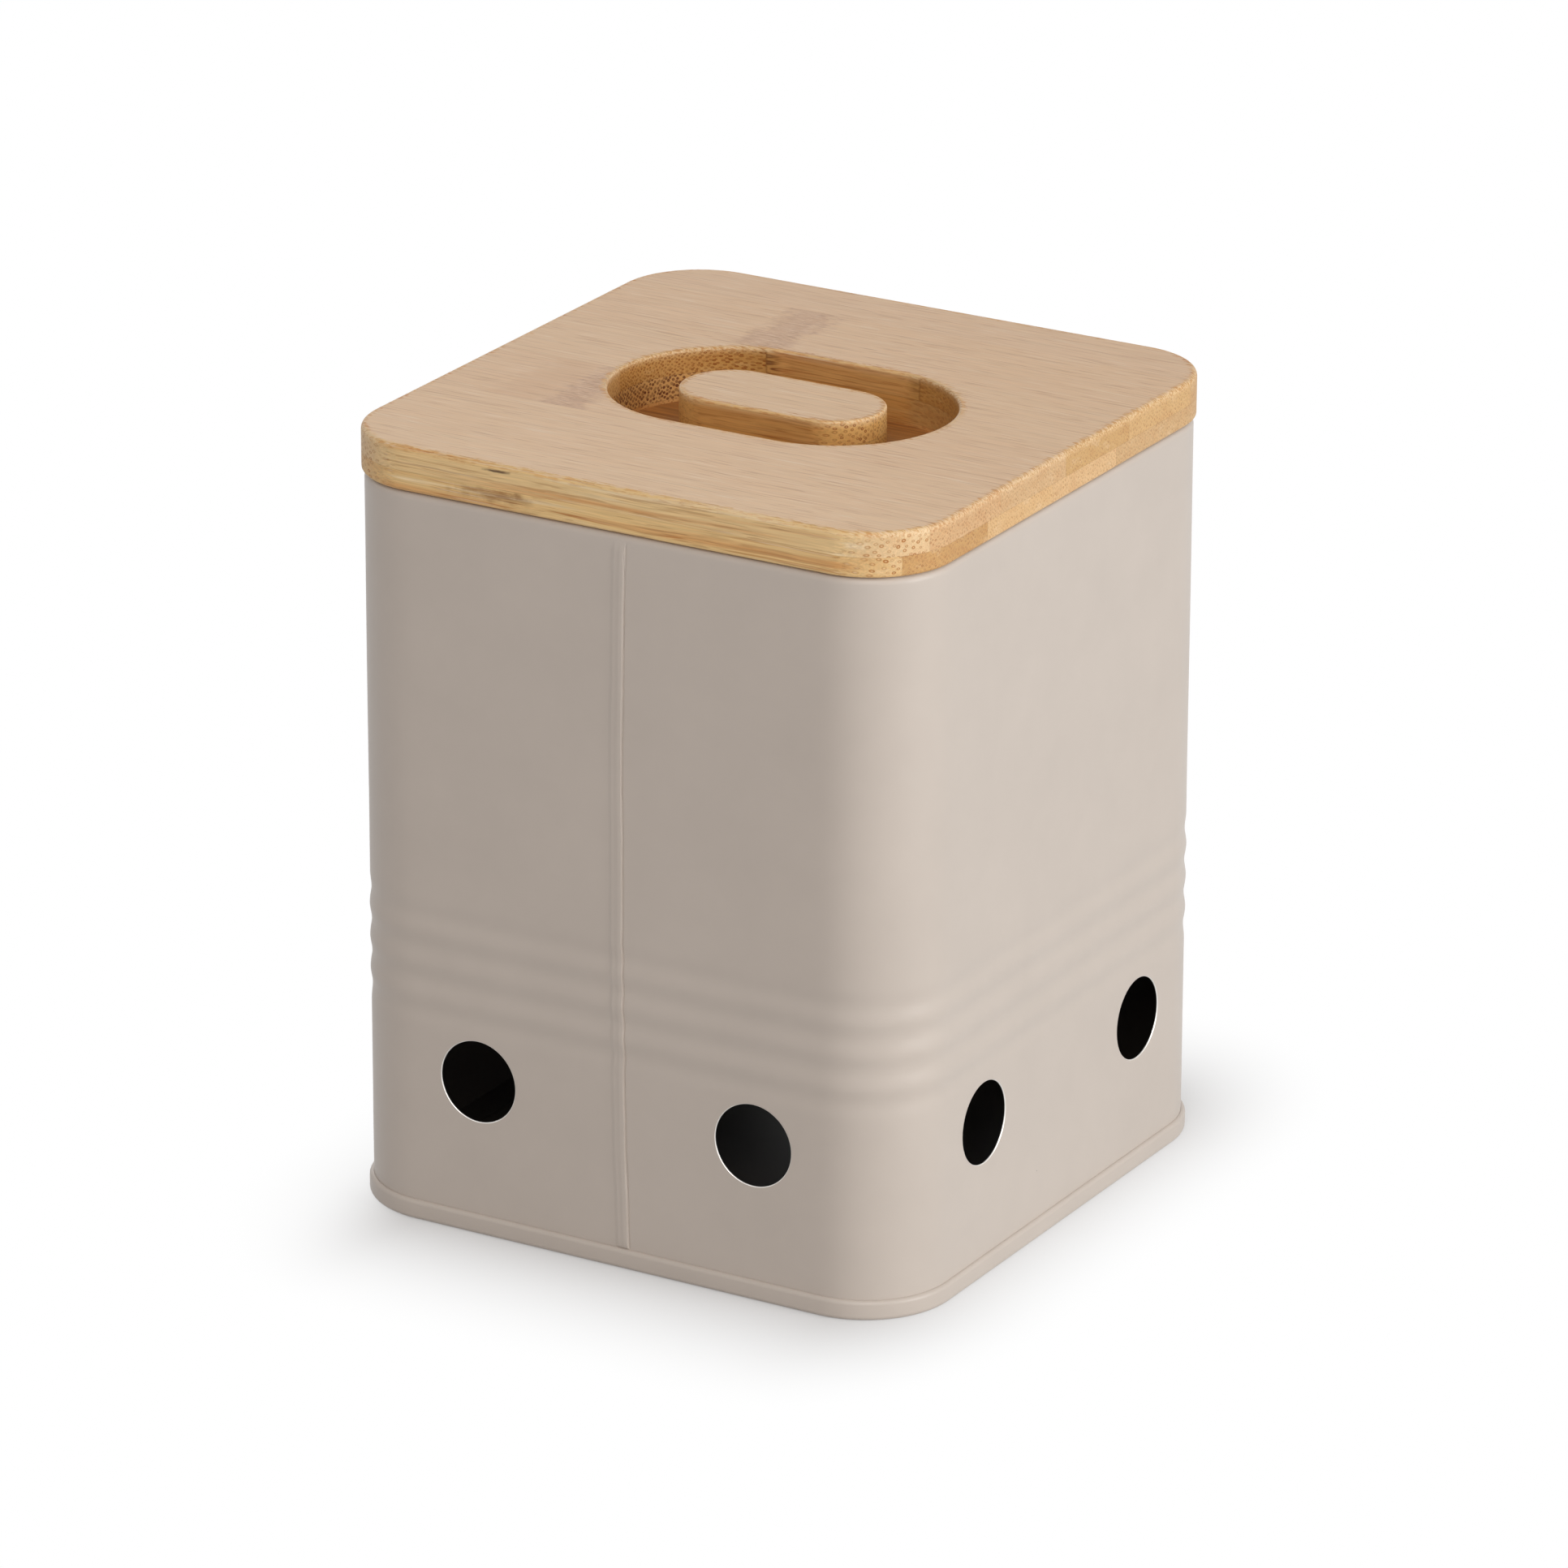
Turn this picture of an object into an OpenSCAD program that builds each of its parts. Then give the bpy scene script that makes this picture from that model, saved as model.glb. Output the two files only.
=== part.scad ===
// Square storage tin with a laminated bamboo lid.
//
// The tin is one sheet wrapped to a rounded square, closed by a lock seam on its front face,
// rolled inwards at the mouth and clasped at the foot by the curled rim of its base pan.
// Three rolled beads run all round it above two round vents on each face.
// The lid is a board of three glued plies of bamboo strips. A ring-shaped pocket routed into its
// top leaves an island to hold it by, and its rebated underside is a plug with a soft seal ring.
// The origin is the centre of the foot, +Z points up and the seam is on the -Y face.

/* [Tin] */
// Width of the tin, side to side
body_w = 200; // [170:1:240]
// Depth of the tin, front to back
body_d = 200; // [170:1:240]
// Height of the tin without its lid
body_h = 237.1; // [170:0.1:300]
// Radius of the tin's upright corners
corner_r = 28; // [22:0.5:40]
// Thickness of the sheet
sheet = 0.5; // [0.3:0.05:0.8]
// Outside diameter of the edge rolled inwards at the mouth
curl_d = 4.8; // [3.6:0.1:6]
// How far round the mouth's edge is rolled, in degrees
curl_turn = 260; // [200:10:290]

/* [Beads] */
// Number of beads
bead_count = 3; // [1:1:4]
// Height of the middle of the band of beads
bead_z = 85.6; // [84:0.1:100]
// Distance from one bead to the next
bead_pitch = 10.6; // [8:0.1:12]
// How far a bead's crest stands out of the wall
bead_crest = 0.2; // [0.1:0.05:0.6]
// How deep the valleys beside the beads are
bead_valley = 0.4; // [0.1:0.05:0.6]

/* [Vents] */
// Diameter of a vent
vent_d = 26.4; // [14:0.1:30]
// Height of the vents' centres
vent_z = 50.4; // [30:0.1:54]
// Distance between the two vents of a face
vent_gap = 97.6; // [70:0.1:110]

/* [Lock seam] */
// Width of the seam
seam_w = 3.9; // [3:0.1:6]
// Place of the seam's middle from the middle of the front face
seam_x = 1.1; // [-10:0.05:10]
// How far the seam stands out of the wall
seam_out = 0.6; // [0.3:0.05:1]

/* [Base pan] */
// Height of the curled rim
rim_h = 6.5; // [5:0.1:9]
// How far the rim stands out of the wall
rim_out = 1.4; // [1:0.05:2]
// Thickness of the folded sheet inside the wall
rim_in = 1.2; // [0.8:0.05:1.5]
// Radius of the rim's lower edge
rim_r = 1.7; // [1:0.05:1.8]
// Height of the slot that holds the wall's lower edge
slot_z = 1.2; // [0.8:0.1:2]
// Height of the panel's underside above the ground
panel_z = 5; // [3:0.1:8]
// How far the panel's stepped middle is raised, to stiffen it
step_h = 1; // [0.5:0.1:1.5]
// Distance from the wall to the foot of that step
step_in = 11; // [5:0.5:16]
// Width of the step's slope
step_w = 2; // [1.5:0.1:4]
// Clearance on each side of the wall in the rim
seam_clear = 0.05; // [0.02:0.01:0.1]

/* [Lid] */
// How far the lid stands out past the tin's walls
lid_over = 0.3; // [0:0.1:3]
// How much tighter the lid's corners are than the tin's
corner_less = 1.2; // [0:0.1:5]
// Thickness of the part that lies on the tin
flange_t = 14.1; // [11:0.1:18]
// Thickness of the upper and the middle ply
ply_t = 7.7; // [6:0.1:9]
// Rounding of the lid's upper edge
top_round = 1.6; // [0.5:0.1:3]
// Rounding of the flange's lower edge
under_round = 1; // [0.5:0.1:2]
// Gap between the flange and the mouth's rolled edge
seat_gap = 0.3; // [0.2:0.05:0.5]

/* [Strips] */
// Width of a bamboo strip
strip_w = 39.8; // [20:0.1:50]
// Place of a glue joint in the upper ply, from the middle
upper_joint = 36.5; // [15:0.1:50]
// Place of a glue joint in the middle ply
middle_joint = 28.5; // [15:0.1:50]
// Place of a glue joint in the plug's ply
plug_joint = 15; // [5:0.1:50]
// Narrowest strip that is laid at an edge
strip_least = 4; // [2:0.5:8]

/* [Grip pocket] */
// Length of the pocket
pocket_l = 112.4; // [96:0.1:130]
// Width of the pocket
pocket_w = 75; // [66:0.1:90]
// Depth of the pocket
pocket_depth = 16.5; // [9:0.1:18]
// Rounding of the pocket's upper edge
pocket_round = 1; // [0.3:0.1:2]
// Length of the island
island_l = 68.4; // [50:0.1:72]
// Width of the island
island_w = 32.4; // [20:0.1:36]
// Rounding of the island's upper edge
island_round = 0.8; // [0.3:0.1:2]

/* [Plug and seal] */
// Depth of the plug below the flange
plug_depth = 9; // [8:0.1:14]
// Clearance between the plug and the mouth
plug_clear = 2.2; // [1.5:0.1:4]
// Rounding of the plug's lower edge
plug_round = 1.5; // [0.5:0.1:2]
// Height of the seal ring
seal_h = 3; // [2.5:0.1:4]
// Depth of the seal ring's groove
groove_depth = 3; // [2:0.1:5]
// Distance from the flange down to the middle of the seal ring
seal_drop = 3.1; // [2.6:0.1:4]
// Radius of the seal ring's two ribs
rib_r = 0.6; // [0.4:0.05:0.6]
// Gap between the ribs and the mouth's rolled edge
seal_gap = 0.3; // [0.2:0.05:0.5]

/* [Hidden] */
$fn = 96;
// Steps in each half wave of a bead, and degrees between the points of a rounding
wave_steps = 4;
arc_step = 18;
// Glue joints looked for on each side of the one that is placed
joint_reach = 12;
// How far a cutting shape reaches past what it cuts
past = 1;

wall_z = slot_z;
curl_r = curl_d / 2;
curl_z = body_h - curl_r;
band_low = bead_z - bead_pitch * bead_count / 2;
band_high = bead_z + bead_pitch * bead_count / 2;

lid_w = body_w + 2 * lid_over;
lid_d = body_d + 2 * lid_over;
lid_r = corner_r - corner_less;
lid_z = body_h + seat_gap;
lid_top = lid_z + flange_t;
plug_z = lid_z - plug_depth;
pocket_z = lid_top - pocket_depth;
middle_z = lid_top - ply_t;
low_z = middle_z - ply_t;
seal_z = lid_z - seal_drop;

mouth_w = body_w - 2 * curl_d;
mouth_d = body_d - 2 * curl_d;
mouth_r = corner_r - curl_d;
plug_w = mouth_w - 2 * plug_clear;
plug_d = mouth_d - 2 * plug_clear;
plug_r = mouth_r - plug_clear;

upper_lines = strip_lines(upper_joint, lid_d / 2, strip_least);
middle_lines = strip_lines(middle_joint, lid_d / 2, strip_least);
plug_lines = strip_lines(plug_joint, plug_d / 2, strip_least);
// The island keeps whatever joints run through it
cap_lines = strip_lines(upper_joint, island_w / 2, 0);
core_lines = strip_lines(middle_joint, island_w / 2, 0);

// Glue joints of a ply, on both sides of the one that is placed
function glue_joints(joint) = [for (k = [-joint_reach:joint_reach]) joint + k * strip_w];

// Lines between the strips of a board that reaches from -half to half, and past its two edges
function strip_lines(joint, half, least) = concat(
    [-half - past],
    [for (y = glue_joints(joint)) if (abs(y) < half - least) y],
    [half + past]
);

// Points of an arc about a centre, from one angle to another
function arc(centre, r, from, to) = let (n = ceil(abs(to - from) / arc_step))
    [for (i = [0:n]) let (a = from + (to - from) * i / n) centre + r * [cos(a), sin(a)]];

// How far the wall's outer face stands out at height z: waves in the band, and half a wave
// at each end of it that brings the wall back to its plain face
function wave(z) =
    z < band_low - bead_pitch / 2 || z > band_high + bead_pitch / 2 ? 0 :
    z < band_low ? -bead_valley * (1 + cos(360 * (band_low - z) / bead_pitch)) / 2 :
    z > band_high ? -bead_valley * (1 + cos(360 * (z - band_high) / bead_pitch)) / 2 :
    bead_crest - (bead_crest + bead_valley) * (1 + cos(360 * (z - band_low) / bead_pitch)) / 2;

// Heights at which the wall's outline has points
function wave_heights() = let (n = (2 * bead_count + 2) * wave_steps)
    [for (i = [0:n]) band_low + bead_pitch * (i / wave_steps / 2 - 0.5)];

function reversed(list) = [for (i = [len(list) - 1:-1:0]) list[i]];

// Sweeps a profile round a rounded rectangle. The profile's x runs outwards from its side.
module around(w, d, r) {
    for (turn = [0, 180]) {
        rotate(turn) translate([w / 2, 0, 0]) rotate([90, 0, 0])
            linear_extrude(height = d - 2 * r, center = true) children();
        rotate(turn + 90) translate([d / 2, 0, 0]) rotate([90, 0, 0])
            linear_extrude(height = w - 2 * r, center = true) children();
        rotate(turn) translate([w / 2 - r, d / 2 - r, 0])
            rotate_extrude(angle = 90) translate([r, 0]) children();
        rotate(turn + 90) translate([d / 2 - r, w / 2 - r, 0])
            rotate_extrude(angle = 90) translate([r, 0]) children();
    }
}

// A rounded rectangular slab. Its profile's x runs from the corners' axes out to their radius.
module slab(w, d, r, z_low, z_high) {
    around(w, d, r) translate([-r, 0]) children();
    translate([0, 0, (z_low + z_high) / 2])
        cube([w - 2 * r, d - 2 * r, z_high - z_low], center = true);
}

// A long slab with round ends along X. Its profile's x runs from the middle out to its radius.
module stadium(length, r) {
    for (turn = [0, 180]) {
        rotate(turn) translate([length / 2 - r, 0, 0]) rotate([0, 0, -90])
            rotate_extrude(angle = 180) children();
        rotate(turn) rotate([90, 0, 90])
            linear_extrude(height = length - 2 * r, center = true) children();
    }
}

// Half section of a slab with a rounded upper and lower edge
module slab_profile(r, z_low, z_high, low_round, high_round) {
    polygon(concat(
        [[0, z_low]],
        low_round > 0 ? arc([r - low_round, z_low + low_round], low_round, -90, 0) : [[r, z_low]],
        high_round > 0 ? arc([r - high_round, z_high - high_round], high_round, 0, 90) : [[r, z_high]],
        [[0, z_high]]
    ));
}

// Section of the wall with its beads and the edge rolled inwards
module wall_profile() {
    heights = wave_heights();
    curl_centre = [-curl_r, curl_z];
    polygon(concat(
        [[0, wall_z]],
        [for (z = heights) [wave(z), z]],
        arc(curl_centre, curl_r, 0, curl_turn),
        arc(curl_centre, curl_r - sheet, curl_turn, 0),
        [for (z = reversed(heights)) [wave(z) - sheet, z]],
        [[-sheet, wall_z]]
    ));
}

// Section of the lock seam, from the rim up to where the edge starts to roll
module seam_profile() {
    heights = wave_heights();
    polygon(concat(
        [[seam_out, rim_h + seam_clear]],
        [for (z = heights) [wave(z) + seam_out, z]],
        [[seam_out, curl_z], [-sheet / 2, curl_z]],
        [for (z = reversed(heights)) [wave(z) - sheet / 2, z]],
        [[-sheet / 2, rim_h + seam_clear]]
    ));
}

// Two vents through the faces at both ends of the X axis
module vent_pair() {
    for (y = [-vent_gap / 2, vent_gap / 2])
        translate([0, y, vent_z]) rotate([0, 90, 0])
            cylinder(h = 2 * max(body_w, body_d), d = vent_d, center = true);
}

module body_shell() {
    color("#b3a89e")
        difference() {
            union() {
                around(body_w, body_d, corner_r) wall_profile();
                rotate(-90) translate([body_d / 2, seam_x, 0]) rotate([90, 0, 0])
                    linear_extrude(height = seam_w, center = true) seam_profile();
            }
            vent_pair();
            rotate(90) vent_pair();
        }
}

// Section of the curled rim: a slot for the wall between the folds outside and inside it
module rim_profile() {
    shoulder = rim_out - seam_clear;
    inside = -sheet - seam_clear;
    fold_r = rim_in / 2;
    polygon(concat(
        reversed(arc([seam_clear, rim_h - shoulder], shoulder, 0, 90)),
        reversed(arc([rim_out - rim_r, rim_r], rim_r, -90, 0)),
        reversed(arc([inside - rim_in + fold_r, fold_r], fold_r, 180, 270)),
        [
            [inside - rim_in, panel_z + sheet],
            [inside, panel_z + sheet],
            [inside, slot_z],
            [seam_clear, slot_z]
        ]
    ));
}

// Section of the panel from inside the rim to just past the top of its step
module step_profile() {
    panel_in = sheet + seam_clear + rim_in / 2;
    step_end = step_in + step_w;
    polygon([
        [-panel_in, panel_z],
        [-step_in, panel_z],
        [-step_end, panel_z + step_h],
        [-step_end - past, panel_z + step_h],
        [-step_end - past, panel_z + step_h + sheet],
        [-step_end, panel_z + step_h + sheet],
        [-step_in, panel_z + sheet],
        [-panel_in, panel_z + sheet]
    ]);
}

module base_pan() {
    middle_in = step_in + step_w;
    middle_r = corner_r - middle_in;
    color("#a89d93") {
        around(body_w, body_d, corner_r) rim_profile();
        around(body_w, body_d, corner_r) step_profile();
        slab(body_w - 2 * middle_in, body_d - 2 * middle_in, middle_r,
            panel_z + step_h, panel_z + step_h + sheet)
            slab_profile(middle_r, panel_z + step_h, panel_z + step_h + sheet, 0, 0);
    }
}

// The pocket without its island: straight down, and rounded where it meets the lid's top
module pocket_cutter() {
    r = pocket_w / 2;
    stadium(pocket_l, r)
        polygon(concat(
            [[0, pocket_z], [r, pocket_z]],
            arc([r + pocket_round, lid_top - pocket_round], pocket_round, 180, 90),
            [[r + pocket_round, lid_top + past], [0, lid_top + past]]
        ));
}

module island() {
    stadium(island_l, island_w / 2)
        slab_profile(island_w / 2, pocket_z - past, lid_top, 0, island_round);
}

// Section of the seal ring's groove, cut into the plug's side
module groove_profile() {
    translate([-groove_depth, seal_z - seal_h / 2]) square([groove_depth + past, seal_h]);
}

// The whole board, before it is parted into its glued strips
module board() {
    difference() {
        union() {
            slab(lid_w, lid_d, lid_r, lid_z, lid_top)
                slab_profile(lid_r, lid_z, lid_top, under_round, top_round);
            slab(plug_w, plug_d, plug_r, plug_z, lid_z)
                slab_profile(plug_r, plug_z, lid_z, plug_round, 0);
        }
        difference() {
            pocket_cutter();
            island();
        }
        around(plug_w, plug_d, plug_r) groove_profile();
    }
}

// One strip's block of a ply, as long as the lid
module strip_block(lines, i, z_low, z_high) {
    length = lid_w + 2 * past;
    translate([-length / 2, lines[i - 1], z_low])
        cube([length, lines[i] - lines[i - 1], z_high - z_low]);
}

// The island and the air round it, halfway out to the pocket's wall
module island_region() {
    r = (pocket_w + island_w) / 4;
    length = (pocket_l + island_l) / 2;
    stadium(length, r)
        slab_profile(r, pocket_z, lid_top + past, 0, 0);
}

module upper_strip(i) {
    color(i % 2 == 0 ? "#cfb191" : "#cbac8b")
        difference() {
            intersection() {
                board();
                strip_block(upper_lines, i, middle_z, lid_top + past);
            }
            island_region();
        }
}

module middle_strip(i) {
    color(i % 2 == 0 ? "#c3a06f" : "#bd9865")
        difference() {
            intersection() {
                board();
                strip_block(middle_lines, i, low_z, middle_z);
            }
            island_region();
        }
}

module plug_strip(i) {
    color(i % 2 == 0 ? "#c9a676" : "#c3a06f")
        intersection() {
            board();
            strip_block(plug_lines, i, plug_z - past, low_z);
        }
}

module island_cap(i) {
    color("#cfb191")
        intersection() {
            board();
            island_region();
            strip_block(cap_lines, i, middle_z, lid_top + past);
        }
}

module island_core(i) {
    color("#bd9865")
        intersection() {
            board();
            island_region();
            strip_block(core_lines, i, low_z, middle_z);
        }
}

// A block that fills the groove, with two round ribs that reach for the mouth's rolled edge
module seal_profile() {
    rib_x = plug_clear - seal_gap - rib_r;
    rib_z = seal_h / 2 - rib_r;
    polygon(concat(
        [[-groove_depth, seal_z - seal_h / 2]],
        arc([rib_x, seal_z - rib_z], rib_r, -90, 90),
        arc([rib_x, seal_z + rib_z], rib_r, -90, 90),
        [[-groove_depth, seal_z + seal_h / 2]]
    ));
}

module seal_ring() {
    color("#e8e6e1")
        around(plug_w, plug_d, plug_r) seal_profile();
}

body_shell();
base_pan();
seal_ring();
for (i = [1:len(upper_lines) - 1])
    upper_strip(i);
for (i = [1:len(middle_lines) - 1])
    middle_strip(i);
for (i = [1:len(plug_lines) - 1])
    plug_strip(i);
for (i = [1:len(cap_lines) - 1])
    island_cap(i);
for (i = [1:len(core_lines) - 1])
    island_core(i);
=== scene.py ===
"""Looks of a square storage tin with a laminated bamboo lid.

The tin's wall, base pan and seal ring are surfaces worked out here, because their beads, punched
edges and rolled edges shade better on an even grid. The lid's glued strips keep their own solids
and get a solid bamboo grain, so that one pattern shows as streaks along a strip and as dots on
its sawn ends. Lengths are in millimetres until a mesh is made.
"""
import math
import bpy
import numpy as np
from mathutils import Matrix, Vector


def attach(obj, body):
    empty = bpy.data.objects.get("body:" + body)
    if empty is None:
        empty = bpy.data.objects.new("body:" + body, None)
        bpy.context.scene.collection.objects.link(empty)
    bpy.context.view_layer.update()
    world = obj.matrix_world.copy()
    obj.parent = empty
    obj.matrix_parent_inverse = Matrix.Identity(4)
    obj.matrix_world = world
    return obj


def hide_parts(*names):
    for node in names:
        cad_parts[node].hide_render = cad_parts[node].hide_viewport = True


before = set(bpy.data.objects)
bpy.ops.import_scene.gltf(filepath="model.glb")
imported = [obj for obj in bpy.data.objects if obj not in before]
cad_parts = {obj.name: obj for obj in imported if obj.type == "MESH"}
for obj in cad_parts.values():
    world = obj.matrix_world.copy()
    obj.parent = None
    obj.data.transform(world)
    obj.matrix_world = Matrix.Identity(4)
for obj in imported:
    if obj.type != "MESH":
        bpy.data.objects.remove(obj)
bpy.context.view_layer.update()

MM = 0.001

# Steps round a corner, and the place that columns off the front face are given, far from its seam
CORNER_STEPS = 16
FAR = 1e6

# Sizes shared with the part's source
BODY = 200.0
BODY_H = 237.1
CORNER_R = 28.0
SHEET = 0.5
CURL_R = 2.4
CURL_TURN = 260.0
CURL_Z = BODY_H - CURL_R
SLOT_Z = 1.2
BEAD_COUNT = 3
BEAD_Z = 85.6
BEAD_PITCH = 10.6
BEAD_CREST = 0.2
BEAD_VALLEY = 0.4
BAND_LOW = BEAD_Z - BEAD_PITCH * BEAD_COUNT / 2
BAND_HIGH = BEAD_Z + BEAD_PITCH * BEAD_COUNT / 2
VENT_R = 13.2
VENT_Z = 50.4
VENT_X = 48.8
SEAM_LEFT = -0.85
SEAM_RIGHT = 3.05
SEAM_OUT = 0.6
RIM_H = 6.5
RIM_OUT = 1.4
RIM_IN = 1.2
RIM_R = 1.7
PANEL_Z = 5.0
STEP_H = 1.0
STEP_IN = 11.0
STEP_W = 2.0
CLEAR = 0.05
LID = 200.6
LID_R = 26.8
LID_Z = 237.4
LID_TOP = 251.5
PLY = 7.7
STRIP_W = 39.8
UPPER_JOINT = 36.5
MIDDLE_JOINT = 28.5
PLUG_JOINT = 15.0
PLUG = 186.0
PLUG_R = 21.0
POCKET_R = 37.5
POCKET_FLAT = 18.7
ISLAND_R = 16.2
ISLAND_FLAT = 18.0
SEAL_Z = 234.3
SEAL_H = 3.0
GROOVE = 3.0
RIB_R = 0.6
RIB_X = 1.3


# ---------------------------------------------------------------- meshes

def put_mesh(name, points, faces, marks=None, crease=38.0):
    """Makes an object of one closed surface.

    points is (n, 3) in mm and faces is (m, 4). Points that meet are merged on a one-micron grid,
    so seams close; a face with two corners merged becomes a triangle, and one with more is
    dropped. The surface is turned over if its signed volume, one sixth of the sum of
    a . (b x c) over its triangles, is negative. marks gives each face's material slot.
    """
    grid = np.round(points * 1000).astype(np.int64)
    _, first, place = np.unique(grid, axis=0, return_index=True, return_inverse=True)
    points = points[first] * MM
    faces = place.reshape(-1)[faces]
    marks = np.zeros(len(faces), np.int32) if marks is None else marks
    same = faces == np.roll(faces, -1, axis=1)
    quads = faces[same.sum(1) == 0]
    threes = same.sum(1) == 1
    tris = faces[threes][~same[threes]].reshape(-1, 3)
    marks = np.concatenate([marks[same.sum(1) == 0], marks[threes]])
    halves = np.concatenate([quads[:, [0, 1, 2]], quads[:, [0, 2, 3]], tris])
    a, b, c = (points[halves[:, k]] for k in range(3))
    if (a * np.cross(b, c)).sum() < 0:
        quads, tris = quads[:, ::-1], tris[:, ::-1]
    mesh = bpy.data.meshes.new(name)
    mesh.vertices.add(len(points))
    mesh.vertices.foreach_set("co", points.ravel())
    mesh.loops.add(quads.size + tris.size)
    corners = np.concatenate([quads.ravel(), tris.ravel()])
    mesh.loops.foreach_set("vertex_index", corners.astype(np.int32))
    mesh.polygons.add(len(quads) + len(tris))
    starts = np.concatenate([np.arange(len(quads)) * 4, quads.size + np.arange(len(tris)) * 3])
    mesh.polygons.foreach_set("loop_start", starts.astype(np.int32))
    mesh.polygons.foreach_set("material_index", marks.astype(np.int32))
    mesh.polygons.foreach_set("use_smooth", np.ones(len(starts), bool))
    mesh.update(calc_edges=True)
    mesh.validate()
    mesh.set_sharp_from_angle(angle=math.radians(crease))
    piece = bpy.data.objects.new(name, mesh)
    bpy.context.scene.collection.objects.link(piece)
    return piece


def grid_faces(rows, columns, wrap_rows=False, wrap_columns=False):
    """Faces of a grid whose point (i, j) has index i * columns + j."""
    i = np.arange(rows if wrap_rows else rows - 1)[:, None]
    j = np.arange(columns if wrap_columns else columns - 1)[None, :]
    i2, j2 = (i + 1) % rows, (j + 1) % columns
    corners = (i * columns + j, i * columns + j2, i2 * columns + j2, i2 * columns + j)
    return np.stack(np.broadcast_arrays(*corners), -1).reshape(-1, 4)


def arc(x, z, r, start, end, steps):
    """Points of an arc about (x, z), from one angle to another in degrees."""
    a = np.radians(np.linspace(start, end, steps + 1))
    return np.stack([x + r * np.cos(a), z + r * np.sin(a)], -1)


def side_frame(side):
    """Outward normal and direction of travel of side 0 to 3: front, right, back, left."""
    a = math.radians(-90 + 90 * side)
    return np.array([math.cos(a), math.sin(a)]), np.array([-math.sin(a), math.cos(a)])


def square_path(width, radius, stops):
    """Path round a rounded square, anticlockwise from above.

    On a side, the point is half the width along the normal plus s along the side, for each stop
    s. Round a corner, it is the corner's axis plus the radius along a normal that turns 90
    degrees. Gives points, normals, and s on the front face (FAR elsewhere).
    """
    half = width / 2
    flat = half - radius
    points, normals, front = [], [], []
    for side in range(4):
        n, t = side_frame(side)
        s = np.asarray(stops[side])
        points.append(n * half + s[:, None] * t)
        normals.append(np.broadcast_to(n, (len(s), 2)))
        front.append(s if side == 0 else np.full(len(s), FAR))
        a = np.radians(np.linspace(0, 90, CORNER_STEPS + 1)[1:-1])[:, None]
        turned = n * np.cos(a) + t * np.sin(a)
        points.append((n + t) * flat + radius * turned)
        normals.append(turned)
        front.append(np.full(len(a), FAR))
    return np.concatenate(points), np.concatenate(normals), np.concatenate(front)


def sweep(path, profile):
    """Carries a profile of (x, z) round a path: point + x * normal, at height z."""
    points, normals = path[0], path[1]
    x, z = profile[:, 0], profile[:, 1]
    xy = points[:, None, :] + x[None, :, None] * normals[:, None, :]
    zs = np.broadcast_to(z[None, :, None], xy.shape[:2] + (1,))
    return np.concatenate([xy, zs], -1)


def smooth_step(x, low, high):
    """0 below low, 1 above high, and 3t^2 - 2t^3 between them."""
    t = np.clip((x - low) / (high - low), 0, 1)
    return t * t * (3 - 2 * t)


# ---------------------------------------------------------------- tin wall

# Half the square that each vent's patch fills, the cells along it, and the wall's material slots
VENT_SQUARE = 15.0
VENT_CELLS = 22
PAINTED, INSIDE, BARE = 0, 1, 2


def bead_wave(z):
    """How far the wall stands out at height z: cosine waves in the band, and a half wave at
    each end of it that brings the wall back to its plain face."""
    turn = 2 * math.pi / BEAD_PITCH
    inside = BEAD_CREST - (BEAD_CREST + BEAD_VALLEY) * (1 + np.cos(turn * (z - BAND_LOW))) / 2
    reach = np.maximum(BAND_LOW - z, z - BAND_HIGH)
    ends = -BEAD_VALLEY * (1 + np.cos(turn * np.minimum(reach, BEAD_PITCH / 2))) / 2
    return np.where(reach > 0, ends, inside)


def seam_wave(s, z):
    """How far the lock seam stands out at (s, z) of the front face.

    A soft rise on its left, a low crown, and a sharp step down on its right with a shallow crease
    beyond it. The seam bows to the right towards both ends, by a power of the distance above
    150 mm and below 95 mm, and wanders by two slow sine waves. The heights are those of a seam
    that stands 0.6 mm out, and grow with it.
    """
    bow = 1.6 * (np.maximum(z - 150, 0) / 85) ** 2 + 1.9 * (np.maximum(95 - z, 0) / 90) ** 1.5
    s = s - bow - 0.1 * np.sin(z / 9.5) - 0.07 * np.sin(z / 3.7 + 1)
    rise = smooth_step(s, SEAM_LEFT - 0.9, SEAM_LEFT + 0.5)
    crown = smooth_step(s, SEAM_RIGHT - 2.6, SEAM_RIGHT - 1.4)
    swell = 0.42 + 0.18 * crown - 0.04 * smooth_step(s, SEAM_RIGHT - 1.1, SEAM_RIGHT - 0.2)
    drop = 1 - np.clip((s - SEAM_RIGHT + 0.12) / 0.12, 0, 1)
    crease = -0.25 * np.exp(-((s - SEAM_RIGHT - 0.2) / 0.2) ** 2)
    ends = smooth_step(z, RIM_H, RIM_H + 0.7) * (1 - smooth_step(z, CURL_Z - 3, CURL_Z))
    return (rise * swell * drop + crease) * ends * (SEAM_OUT / 0.6)


def sheet_bow(p, z):
    """Slow unevenness of rolled sheet, up to a tenth of a millimetre: products of long sine
    waves over place and height, faded out at the vents, beads and both ends."""
    calm = smooth_step(z, 108, 130) * (1 - smooth_step(z, 205, 228))
    low = smooth_step(z, 8, 16) * (1 - smooth_step(z, 26, 34))
    wave = np.sin(p[..., 0] / 31 + z / 47) * np.cos(p[..., 1] / 27 - z / 39 + 0.7)
    return (0.11 * calm + 0.05 * low) * wave


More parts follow.
